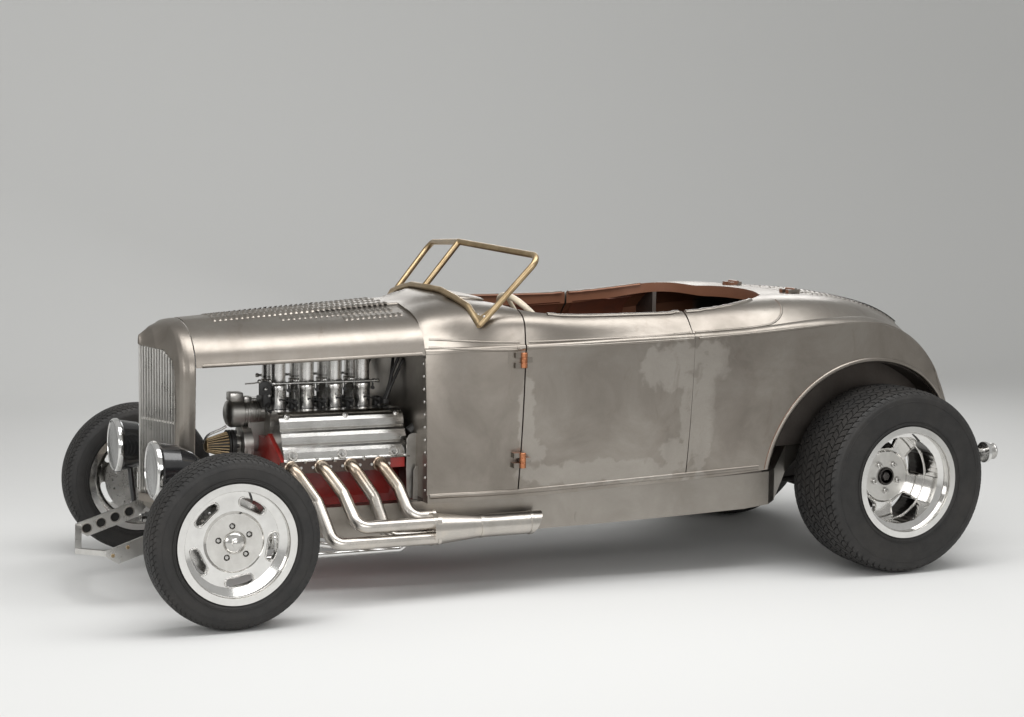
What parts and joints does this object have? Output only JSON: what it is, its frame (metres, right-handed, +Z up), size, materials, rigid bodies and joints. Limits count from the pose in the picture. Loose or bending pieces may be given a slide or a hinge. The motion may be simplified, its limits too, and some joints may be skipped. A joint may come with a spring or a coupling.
{
  "type": "street rod roadster",
  "caption": "open two-seat street rod with bare metal body, exposed engine, side exhausts and highboy stance; wheels, steering, doors and deck lid move",
  "frame": {"origin": "on the ground under the middle of the car's length and width", "axes": "+X forward along the length, +Y to the car's left, +Z up"},
  "size_m": [3.756, 1.598, 1.287],
  "materials": {
    "bare_steel": "satin bare metal",
    "frame_steel": "satin bare metal",
    "bronze": "satin",
    "chrome": "polished",
    "polished_alloy": "polished",
    "cast_alloy": "satin",
    "red_block": "gloss",
    "black_paint": "gloss",
    "black_parts": "satin",
    "header_steel": "satin",
    "brake_steel": "satin",
    "cast_iron": "cast",
    "tyre_rubber": "matt",
    "brown_hide": "satin",
    "cream_plastic": "gloss"
  },
  "bodies": {
    "chassis": {"cowl": "bare_steel", "rear_body": "bare_steel", "floor": "frame_steel", "firewall": "bare_steel", "wheel_tubs": "frame_steel", "seat": "brown_hide", "hood_top": "bare_steel", "grille_shell": "bare_steel", "grille_bars": "frame_steel", "radiator": "black_parts", "windscreen_frame": "bronze", "frame": "frame_steel", "front_spreader": "frame_steel", "front_axle": "chrome", "front_spring": "black_parts", "radius_rods": "chrome", "rear_axle": "cast_iron", "rear_shocks": "chrome", "engine_block": "red_block", "valve_covers": "polished_alloy", "intake": "cast_alloy", "front_drive": "cast_alloy", "headers": "header_steel", "headlamps": "black_paint", "tail_lamps": "bronze", "steering_column": "black_parts"},
    "door_left": {"door_left": "bare_steel"},
    "door_right": {"door_right": "bare_steel"},
    "deck_lid": {"deck_lid": "bare_steel"},
    "knuckle_left": {"knuckle_left": "chrome"},
    "knuckle_right": {"knuckle_right": "chrome"},
    "tie_rod": {"tie_rod": "chrome"},
    "wheel_front_left": {"rim_front_left": "polished_alloy", "tyre_front_left": "tyre_rubber", "brake_rotor_left": "brake_steel"},
    "wheel_front_right": {"rim_front_right": "polished_alloy", "tyre_front_right": "tyre_rubber", "brake_rotor_right": "brake_steel"},
    "wheel_rear_left": {"rim_rear_left": "polished_alloy", "tyre_rear_left": "tyre_rubber", "brake_drum_left": "cast_iron"},
    "wheel_rear_right": {"rim_rear_right": "polished_alloy", "tyre_rear_right": "tyre_rubber", "brake_drum_right": "cast_iron"},
    "steering_wheel": {"steering_wheel": "cream_plastic"}
  },
  "joints": [
    {"name": "door_left_hinge", "type": "hinge", "parent": "chassis", "child": "door_left", "pos_m": [0.355, 0.57607, 0.685], "axis": [0, 0, -1], "range_deg": [0, 65]},
    {"name": "door_right_hinge", "type": "hinge", "parent": "chassis", "child": "door_right", "pos_m": [0.355, -0.57607, 0.685], "axis": [0, 0, 1], "range_deg": [0, 65]},
    {"name": "deck_lid_hinge", "type": "hinge", "parent": "chassis", "child": "deck_lid", "pos_m": [-0.995, 0, 1.08535], "axis": [0, 1, 0], "range_deg": [0, 60]},
    {"name": "steering_left", "type": "hinge", "parent": "chassis", "child": "knuckle_left", "pos_m": [1.485, 0.578, 0.3], "axis": [0, 0, 1], "range_deg": [-25, 25]},
    {"name": "steering_right", "type": "hinge", "parent": "chassis", "child": "knuckle_right", "pos_m": [1.485, -0.578, 0.3], "axis": [0, 0, 1], "range_deg": [-25, 25]},
    {"name": "tie_rod_swing", "type": "hinge", "parent": "knuckle_left", "child": "tie_rod", "pos_m": [1.345, 0.578, 0.226], "axis": [0, 0, 1], "range_deg": [-25, 25]},
    {"name": "steering_wheel_turn", "type": "hinge", "parent": "chassis", "child": "steering_wheel", "pos_m": [0.195, 0.29, 0.93], "axis": [-0.8192, 0, 0.5736], "range_deg": [-375, 375]},
    {"name": "wheel_front_left_spin", "type": "hinge", "parent": "knuckle_left", "child": "wheel_front_left", "pos_m": [1.485, 0.697, 0.3], "axis": [0, 1, 0], "continuous": true},
    {"name": "wheel_front_right_spin", "type": "hinge", "parent": "knuckle_right", "child": "wheel_front_right", "pos_m": [1.485, -0.697, 0.3], "axis": [0, 1, 0], "continuous": true},
    {"name": "wheel_rear_left_spin", "type": "hinge", "parent": "chassis", "child": "wheel_rear_left", "pos_m": [-1.207, 0.649, 0.365], "axis": [0, 1, 0], "continuous": true},
    {"name": "wheel_rear_right_spin", "type": "hinge", "parent": "chassis", "child": "wheel_rear_right", "pos_m": [-1.207, -0.649, 0.365], "axis": [0, 1, 0], "continuous": true}
  ],
  "couplings": [
    {"joint": "steering_right", "follows": "steering_left", "ratio": 1},
    {"joint": "tie_rod_swing", "follows": "steering_left", "ratio": -1},
    {"joint": "steering_wheel_turn", "follows": "steering_left", "ratio": 15}
  ]
}
